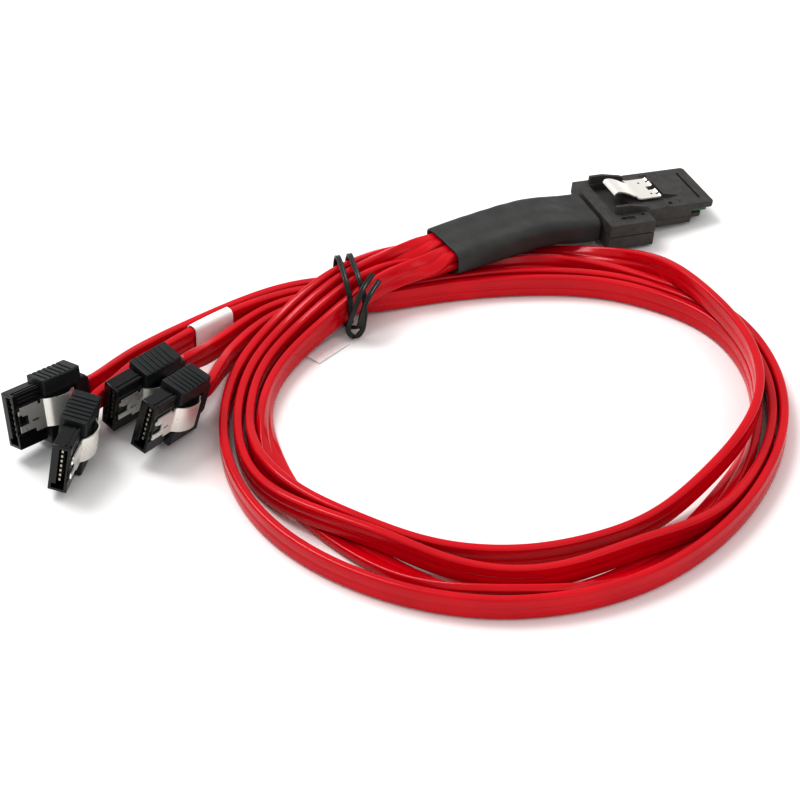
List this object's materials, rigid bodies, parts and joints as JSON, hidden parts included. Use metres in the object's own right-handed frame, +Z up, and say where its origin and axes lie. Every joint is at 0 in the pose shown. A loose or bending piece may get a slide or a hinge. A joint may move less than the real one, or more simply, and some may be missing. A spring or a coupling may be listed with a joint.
{
  "type": "internal mini SAS to SATA breakout cable",
  "caption": "Internal mini SAS breakout cable: a wide latching plug and heat-shrink sleeve, flat red cables in a tied loop, and black latching SATA connectors.",
  "frame": {"origin": "the centre, on the floor, of the box round the rigid pieces and the sleeve, with the loop of cable left out", "axes": "+Z up from the floor the cable lies on; +X to the picture's right; +Y away from the camera"},
  "size_m": [0.1662, 0.1561, 0.0167],
  "materials": {
    "cable_jacket": "smooth red insulation with a soft sheen",
    "sleeve_film": "satin dark grey heat-shrink film with fine wrinkles",
    "plug_shell": "fine-grained matte dark grey moulding",
    "card_board": "green circuit board with gold edge pads",
    "spring_steel": "bright stamped spring steel",
    "connector_black": "satin black moulded housing",
    "boot_black": "satin black strain-relief boot with shallow grooves",
    "contact_gold": "gold-plated spring contacts",
    "label_film": "white vinyl label",
    "tie_coating": "black plastic-coated wire tie"
  },
  "bodies": {
    "cable_body": {"cable_1": "cable_jacket", "cable_2": "cable_jacket", "cable_3": "cable_jacket", "cable_4": "cable_jacket", "heat_shrink_sleeve": "sleeve_film", "mini_sas_upper_shell": "plug_shell", "mini_sas_lower_shell": "plug_shell", "mini_sas_card": "card_board", "cable_label_1": "label_film", "cable_label_2": "label_film", "twist_tie": "tie_coating", "sata_1_housing": "connector_black", "sata_1_boot": "boot_black", "sata_2_housing": "connector_black", "sata_2_boot": "boot_black", "sata_3_housing": "connector_black", "sata_3_boot": "boot_black", "sata_4_housing": "connector_black", "sata_4_boot": "boot_black", "sata_1_contact_1": "contact_gold", "sata_1_contact_2": "contact_gold", "sata_1_contact_3": "contact_gold", "sata_1_contact_4": "contact_gold", "sata_1_contact_5": "contact_gold", "sata_1_contact_6": "contact_gold", "sata_1_contact_7": "contact_gold", "sata_2_contact_1": "contact_gold", "sata_2_contact_2": "contact_gold", "sata_2_contact_3": "contact_gold", "sata_2_contact_4": "contact_gold", "sata_2_contact_5": "contact_gold", "sata_2_contact_6": "contact_gold", "sata_2_contact_7": "contact_gold", "sata_3_contact_1": "contact_gold", "sata_3_contact_2": "contact_gold", "sata_3_contact_3": "contact_gold", "sata_3_contact_4": "contact_gold", "sata_3_contact_5": "contact_gold", "sata_3_contact_6": "contact_gold", "sata_3_contact_7": "contact_gold", "sata_4_contact_1": "contact_gold", "sata_4_contact_2": "contact_gold", "sata_4_contact_3": "contact_gold", "sata_4_contact_4": "contact_gold", "sata_4_contact_5": "contact_gold", "sata_4_contact_6": "contact_gold", "sata_4_contact_7": "contact_gold"},
    "sata_1_latch_body": {"sata_1_latch": "spring_steel"},
    "sata_2_latch_body": {"sata_2_latch": "spring_steel"},
    "sata_3_latch_body": {"sata_3_latch": "spring_steel"},
    "sata_4_latch_body": {"sata_4_latch": "spring_steel"},
    "mini_sas_latch_body": {"mini_sas_latch": "spring_steel"}
  },
  "joints": [
    {"name": "sata_1_latch_press", "type": "hinge", "parent": "cable_body", "child": "sata_1_latch_body", "pos_m": [-0.07047, -0.04272, 0.00923], "axis": [-0.087, 0.2311, 0.969], "range_deg": [0, 4], "stiffness_Nm_per_rad": 0.002},
    {"name": "sata_2_latch_press", "type": "hinge", "parent": "cable_body", "child": "sata_2_latch_body", "pos_m": [-0.06202, -0.0528, 0.00716], "axis": [0.1873, -0.0364, 0.9816], "range_deg": [0, 4], "stiffness_Nm_per_rad": 0.002},
    {"name": "sata_3_latch_press", "type": "hinge", "parent": "cable_body", "child": "sata_3_latch_body", "pos_m": [-0.05104, -0.03542, 0.00715], "axis": [0.1496, -0.1444, 0.9781], "range_deg": [0, 4], "stiffness_Nm_per_rad": 0.002},
    {"name": "sata_4_latch_press", "type": "hinge", "parent": "cable_body", "child": "sata_4_latch_body", "pos_m": [-0.04363, -0.04434, 0.00857], "axis": [0.2717, 0.0053, 0.9624], "range_deg": [0, 4], "stiffness_Nm_per_rad": 0.002},
    {"name": "mini_sas_latch_press", "type": "hinge", "parent": "cable_body", "child": "mini_sas_latch_body", "pos_m": [0.06038, 0.0461, 0.00737], "axis": [-0.3746, 0.9272, 0], "range_deg": [-6, 0], "stiffness_Nm_per_rad": 0.004}
  ]
}
